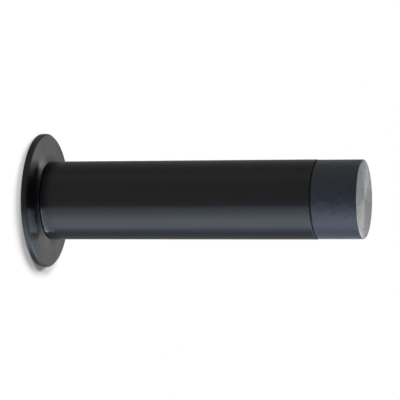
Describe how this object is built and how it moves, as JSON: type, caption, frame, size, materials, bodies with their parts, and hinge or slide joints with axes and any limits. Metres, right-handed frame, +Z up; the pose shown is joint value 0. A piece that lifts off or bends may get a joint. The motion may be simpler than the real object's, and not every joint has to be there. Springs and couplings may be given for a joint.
{
  "type": "cylindrical door stop",
  "caption": "Black cylindrical door stop that stands out from a wall: round rose on a hidden bolt, solid round post and a flush rubber buffer at the free end.",
  "frame": {"origin": "centre of the rose's back face, on the wall", "axes": "+X out of the wall along the post's axis, +Z up"},
  "size_m": [0.119, 0.0342, 0.0342],
  "materials": {
    "black_anodised": "satin black",
    "black_rubber": "smooth moulded",
    "zinc_steel": "zinc plated"
  },
  "bodies": {
    "root": {"rose": "black_anodised", "post": "black_anodised", "buffer": "black_rubber", "hanger_bolt": "zinc_steel"}
  },
  "joints": []
}
